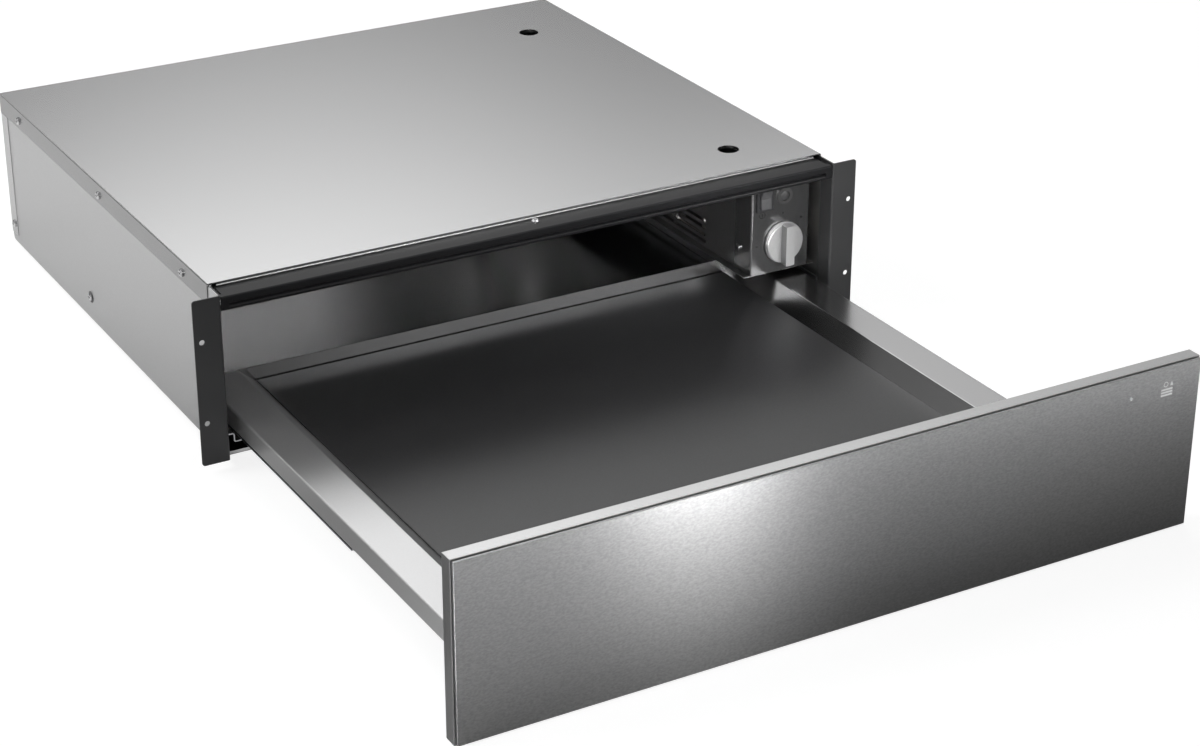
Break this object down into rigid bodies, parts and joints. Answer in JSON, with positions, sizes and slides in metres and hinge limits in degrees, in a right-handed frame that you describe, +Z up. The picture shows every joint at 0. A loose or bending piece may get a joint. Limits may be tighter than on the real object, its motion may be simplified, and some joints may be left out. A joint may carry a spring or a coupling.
{
  "type": "built-in warming drawer",
  "caption": "Built-in warming drawer: steel case with fixing flanges, fan heater compartment with controls, and a shallow tray on telescopic ball runners behind a handleless front.",
  "frame": {"origin": "middle of the four fixing holes, on the front face of the flanges", "axes": "+X to the right seen from the front, +Y to the back, +Z up"},
  "size_m": [0.594, 0.9373, 0.143],
  "materials": {
    "cover_steel": "satin zinc-coated sheet",
    "case_steel": "zinc-coated sheet",
    "black_paint": "satin black powder coat",
    "screw_steel": "bright zinc plate",
    "rail_steel": "zinc-plated runner steel",
    "ball_cage": "zinc-plated cage with steel balls",
    "housing_steel": "satin sheet",
    "plate_paint": "black with plain white marks",
    "moulding": "heat-resistant moulding",
    "black_plastic": "smooth",
    "lamp_ring": "polished",
    "lamp_lens": "tinted lens",
    "element_tube": "heat-tinted tube",
    "motor_iron": "stacked plates and coil",
    "impeller": "pressed",
    "tray_steel": "brushed stainless steel",
    "mat": "fine matt",
    "frame_alu": "satin anodised",
    "front_steel": "brushed stainless steel",
    "core": "foamed board",
    "pad": "bonding pad",
    "light_lens": "clear light pipe",
    "buffer": "soft clear buffer",
    "knob_metal": "satin silver"
  },
  "bodies": {
    "case": {"base_plate": "case_steel", "side_panel_left": "case_steel", "side_panel_right": "case_steel", "back_panel": "case_steel", "top_cover": "cover_steel", "flange_left": "black_paint", "flange_right": "black_paint", "front_rail": "black_paint", "case_screws": "screw_steel", "case_rail_left": "rail_steel", "case_rail_right": "rail_steel", "rail_foot_left": "rail_steel", "rail_foot_right": "rail_steel", "runner_screws": "screw_steel", "control_plate": "plate_paint", "louvred_wall": "housing_steel", "housing_floor": "housing_steel", "housing_screws": "screw_steel", "thermostat": "moulding", "switch_body": "black_plastic", "lamp_holder": "lamp_ring", "lamp_lens": "lamp_lens", "heating_element": "element_tube", "element_clips": "case_steel", "fan_bracket": "case_steel", "fan_motor": "motor_iron", "thermal_cutout": "black_plastic", "terminal_block": "moulding", "inlet_gland": "black_plastic", "latch_body": "black_plastic", "latch_screws": "screw_steel"},
    "drawer": {"drawer_rail_left": "rail_steel", "drawer_rail_right": "rail_steel", "tray_wall_left": "tray_steel", "tray_wall_right": "tray_steel", "tray_floor": "tray_steel", "tray_rear_wall": "tray_steel", "tray_mat": "mat", "front_bracket_left": "rail_steel", "front_bracket_right": "rail_steel", "bracket_screws": "screw_steel", "front_frame": "frame_alu", "front_back_plate": "case_steel", "front_core": "core", "front_pad": "pad", "front_sheet": "front_steel", "front_light": "light_lens", "buffers": "buffer", "latch_striker": "rail_steel"},
    "middle_rail_left": {"middle_rail_left": "rail_steel"},
    "middle_rail_right": {"middle_rail_right": "rail_steel"},
    "lower_cage_left": {"lower_cage_left": "ball_cage"},
    "lower_cage_right": {"lower_cage_right": "ball_cage"},
    "upper_cage_left": {"upper_cage_left": "ball_cage"},
    "upper_cage_right": {"upper_cage_right": "ball_cage"},
    "knob": {"knob": "knob_metal", "thermostat_shaft": "screw_steel"},
    "rocker": {"rocker": "black_plastic"},
    "fan_impeller": {"fan_impeller": "impeller"},
    "latch_plunger": {"latch_plunger": "moulding"}
  },
  "joints": [
    {"name": "drawer_slide", "type": "slide", "parent": "case", "child": "drawer", "axis": [0, 1, 0], "range_m": [0, 0.4095]},
    {"name": "middle_rail_left_slide", "type": "slide", "parent": "case", "child": "middle_rail_left", "axis": [0, 1, 0], "range_m": [0, 0.2048]},
    {"name": "lower_cage_left_slide", "type": "slide", "parent": "case", "child": "lower_cage_left", "axis": [0, 1, 0], "range_m": [0, 0.10243]},
    {"name": "upper_cage_left_slide", "type": "slide", "parent": "case", "child": "upper_cage_left", "axis": [0, 1, 0], "range_m": [0, 0.30717]},
    {"name": "middle_rail_right_slide", "type": "slide", "parent": "case", "child": "middle_rail_right", "axis": [0, 1, 0], "range_m": [0, 0.2048]},
    {"name": "lower_cage_right_slide", "type": "slide", "parent": "case", "child": "lower_cage_right", "axis": [0, 1, 0], "range_m": [0, 0.10243]},
    {"name": "upper_cage_right_slide", "type": "slide", "parent": "case", "child": "upper_cage_right", "axis": [0, 1, 0], "range_m": [0, 0.30717]},
    {"name": "knob_turn", "type": "hinge", "parent": "case", "child": "knob", "pos_m": [0.24, 0.025, -0.004], "axis": [0, 1, 0], "range_deg": [0, 270]},
    {"name": "rocker_tip", "type": "hinge", "parent": "case", "child": "rocker", "pos_m": [0.2209, 0.025, 0.03918], "axis": [1, 0, 0], "range_deg": [-14, 0]},
    {"name": "fan_spin", "type": "hinge", "parent": "case", "child": "fan_impeller", "pos_m": [0.224, 0.35, 0.01945], "axis": [1, 0, 0], "continuous": true},
    {"name": "plunger_push", "type": "slide", "parent": "case", "child": "latch_plunger", "axis": [0, 1, 0], "range_m": [0, 0.004], "stiffness_N_per_m": 400, "springref_m": -0.008}
  ],
  "couplings": [
    {"joint": "middle_rail_left_slide", "follows": "drawer_slide", "ratio": 0.5},
    {"joint": "lower_cage_left_slide", "follows": "drawer_slide", "ratio": 0.25},
    {"joint": "upper_cage_left_slide", "follows": "drawer_slide", "ratio": 0.75},
    {"joint": "middle_rail_right_slide", "follows": "drawer_slide", "ratio": 0.5},
    {"joint": "lower_cage_right_slide", "follows": "drawer_slide", "ratio": 0.25},
    {"joint": "upper_cage_right_slide", "follows": "drawer_slide", "ratio": 0.75}
  ]
}
